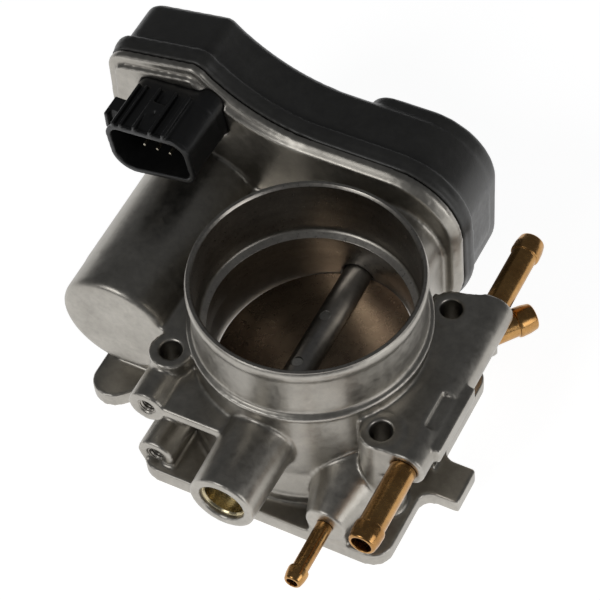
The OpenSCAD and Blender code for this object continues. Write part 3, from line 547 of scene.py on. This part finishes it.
FRONT, REAR = (0, -1, 0), (0, 1, 0)
SIDEWAYS = (0.61566, 0.78801, 0)
RAIL_X, RAIL_Z = 43, 34.3
COOLANT_BARB, COOLANT_TAIL, COOLANT_BORE = 6.2, 7.9, 3.0
hose_pipe("front_coolant_nipple", (RAIL_X, -28.8, RAIL_Z), FRONT, 4.0, 4.6, 27.0,
          COOLANT_BARB, COOLANT_TAIL, COOLANT_BORE)
hose_pipe("rear_coolant_nipple", (RAIL_X, 33, RAIL_Z), REAR, 3.9, 4.5, 27.0,
          COOLANT_BARB, COOLANT_TAIL, COOLANT_BORE)
hose_pipe("vacuum_nipple", (24.3, -43.2, 13), FRONT, 2.45, 3.15, 20.6, 4.8, 9.0, 1.65)
hose_pipe("side_nipple", (42.313, 29.76, 24.6), SIDEWAYS, 4.0, 4.6, 15.0, COOLANT_BARB, 4.8, COOLANT_BORE)

# %% [markdown]
# The cutter goes down the intake from the rim to just above the shaft, with a small step at the shoulder.
# The liner is a thin ring whose visible side stands a few hundredths of a millimetre in front of the
# casting, which gives the crisp rim and the fine rings that the softened casting can't carry.

# %% Machined inside of the intake
LINER = rounded([
    (32.46, 65.75, 0.12), (33.10, 66.54, 0.12), (34.05, 66.54, 0.2), (34.05, 66.2, 0.1), (32.95, 65.3, 0.2),
    (32.95, 46.0, 0.3), (30.5, 45.0, 0.2), (30.5, 36.2, 0.2), (29.95, 36.2, 0.05), (29.95, 45.12, 0.1),
    (32.46, 46.22, 0.1)])
grid_piece("intake_liner", lathe(LINER, 256), (0, 0, 0), (0, 0, 1), "machined_aluminium")

# %% [markdown]
# ## Threads
# A tapped hole shows its thread. Its radius falls to the tip and rises to the root once per pitch along
# the axis, and the whole wave moves on by one pitch per turn, which makes it a helix.

# %% Tapped holes
def thread_liner(name, origin, root_radius, depth, pitch, first, last):
    """A sleeve in a hole along Z from first to last. Inner radius = root - depth x w(s), with
    s = z / pitch - angle / turn, and w(s) = a rounded triangle wave (1 - cos 2 pi s) / 2 to the power 0.8.
    The depth fades in over the first turn. The outer radius is constant, inside the metal."""
    rows, columns = 96, 150
    angle = np.linspace(0, 2 * np.pi, rows, endpoint=False)[:, None]
    z = np.linspace(first, last, columns)[None, :]
    wave = ((1 - np.cos(2 * np.pi * (z / pitch - angle / (2 * np.pi)))) / 2) ** 0.8
    fade = np.clip((z - first) / pitch, 0, 1)
    inner = root_radius - depth * wave * fade
    outer = np.full((rows, 2), root_radius + 0.5)
    r = np.concatenate([inner, outer], 1)
    z = np.concatenate([np.broadcast_to(z, (rows, columns)), np.broadcast_to([[last, first]], (rows, 2))], 1)
    points = np.stack([np.cos(angle) * r, np.sin(angle) * r, z], -1)
    return grid_piece(name, points, origin, (0, 1, 0), "machined_aluminium")


TAP_X, TAP_FACE_Y = -33.6, -40
for name, height in (("upper_thread", 33.0), ("lower_thread", 8.0)):
    thread_liner(name, (TAP_X, TAP_FACE_Y, height), root_radius=2.42, depth=0.5, pitch=0.8,
                 first=0.75, last=11.8)

# %% [markdown]
# ## Floor and light
# The part stands on a plain pale floor that glows, as a lit table does. Metal shows what it reflects: the
# upright faces mirror the bright floor, and the faces that look up mirror a dark ceiling with two soft
# lamps in it.

# %% Floor
def make_floor(level, half):
    """A flat square at that height."""
    corners = np.array([(-1, -1, 0), (1, -1, 0), (1, 1, 0), (-1, 1, 0)]) * half + (0, 0, level)
    mesh = bpy.data.meshes.new("floor")
    mesh.from_pydata(corners.tolist(), [], [(0, 1, 2, 3)])
    material = bpy.data.materials.new("pale_floor")
    material.use_nodes = True
    shader = material.node_tree.nodes["Principled BSDF"]
    shader.inputs["Base Color"].default_value = (0.5, 0.5, 0.5, 1)
    shader.inputs["Roughness"].default_value = 0.9
    shader.inputs["Emission Color"].default_value = (1, 1, 1, 1)
    shader.inputs["Emission Strength"].default_value = 0.9
    mesh.materials.append(material)
    floor = bpy.data.objects.new("floor", mesh)
    bpy.context.scene.collection.objects.link(floor)
    return floor


FLOOR_GAP = 0.5 * MM
make_floor(cad_box[0][2] - FLOOR_GAP, 4.0)
print("floor at", round(cad_box[0][2] / MM, 2), "mm")

# %% Lamps
def soft_lamp(name, place, aim, size, power):
    """A square area lamp that looks from place to aim."""
    lamp = bpy.data.lights.new(name, "AREA")
    lamp.shape = "SQUARE"
    lamp.size = size
    lamp.energy = power
    lamp_object = bpy.data.objects.new(name, lamp)
    look = Vector(aim) - Vector(place)
    rotation = look.to_track_quat("-Z", "Y").to_matrix().to_4x4()
    lamp_object.matrix_world = Matrix.Translation(place) @ rotation
    bpy.context.scene.collection.objects.link(lamp_object)
    return lamp_object


MIDDLE = (0.0, 0.0, 0.03)
soft_lamp("key_lamp", (-0.35, -0.75, 0.70), MIDDLE, 0.40, 2.2)
soft_lamp("side_lamp", (0.80, -0.10, 0.30), MIDDLE, 0.40, 1.2)
world = bpy.data.worlds.new("studio")
world.use_nodes = True
world.node_tree.nodes["Background"].inputs["Color"].default_value = (0.95, 0.97, 1.0, 1)
world.node_tree.nodes["Background"].inputs["Strength"].default_value = 0.10
bpy.context.scene.world = world
bpy.context.scene.view_settings.view_transform = "Standard"
print("two lamps")
